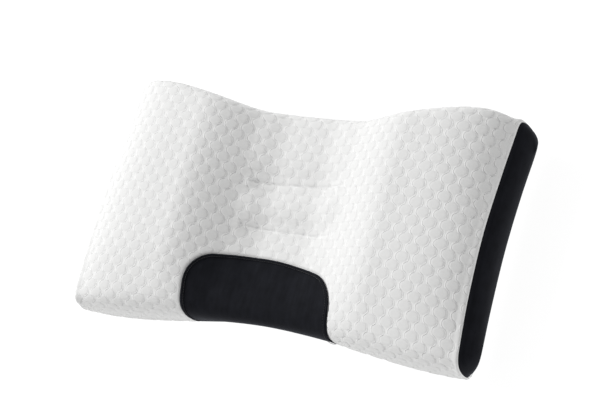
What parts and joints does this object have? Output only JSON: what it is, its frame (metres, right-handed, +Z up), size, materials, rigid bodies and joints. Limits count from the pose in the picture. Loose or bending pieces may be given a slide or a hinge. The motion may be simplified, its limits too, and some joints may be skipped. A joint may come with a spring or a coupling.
{
  "type": "cervical pillow",
  "caption": "Butterfly-shaped contour neck pillow with high side lobes, a low sewn head valley, a black neck panel and black end gussets, and a filling zip in the back seam.",
  "frame": {"origin": "centre of the footprint, on the surface the pillow lies on", "axes": "+X along the pillow to the user's right-hand end gusset as seen from the neck edge, +Y from the neck edge to the back edge, +Z up"},
  "size_m": [0.717, 0.4038, 0.1418],
  "materials": {
    "bubble_knit": "quilted bubble-pattern knit, soft matt",
    "base_knit": "plain fine knit, matt",
    "black_suede": "fine brushed black cloth with a slight blue cast, matt",
    "black_thread": "sewing thread",
    "white_thread": "sewing thread",
    "baffle_cloth": "plain non-woven cloth",
    "fibre_fill": "loose polyester fibre",
    "zip_tape": "herringbone woven tape",
    "zip_plastic": "moulded zip teeth",
    "zip_metal": "white enamelled die-cast",
    "label_cloth": "blank satin ribbon"
  },
  "bodies": {
    "pillow": {"cover_top": "bubble_knit", "cover_base": "base_knit", "neck_panel": "black_suede", "gusset_left": "black_suede", "gusset_right": "black_suede", "neck_topstitch": "black_thread", "crease_stitch_back": "white_thread", "crease_stitch_front": "white_thread", "baffle_left": "baffle_cloth", "baffle_right": "baffle_cloth", "baffle_back": "baffle_cloth", "baffle_front": "baffle_cloth", "fill_left": "fibre_fill", "fill_right": "fibre_fill", "fill_back": "fibre_fill", "fill_middle": "fibre_fill", "fill_neck_roll": "fibre_fill", "zip_tape_upper": "zip_tape", "zip_tape_lower": "zip_tape", "zip_teeth_upper": "zip_plastic", "zip_teeth_lower": "zip_plastic", "zip_top_stop": "zip_plastic", "zip_bottom_stop": "zip_plastic", "care_label": "label_cloth"},
    "slider": {"zip_slider": "zip_metal"},
    "pull": {"zip_pull": "zip_metal"}
  },
  "joints": [
    {"name": "zip_slide", "type": "slide", "parent": "pillow", "child": "slider", "axis": [-1, 0, 0], "range_m": [0, 0.17], "deforming": ["zip_teeth_upper", "zip_teeth_lower"]},
    {"name": "pull_swing", "type": "hinge", "parent": "slider", "child": "pull", "pos_m": [0.093, 0.1762, 0.056], "axis": [0, 0, 1], "range_deg": [-165, 0]}
  ]
}
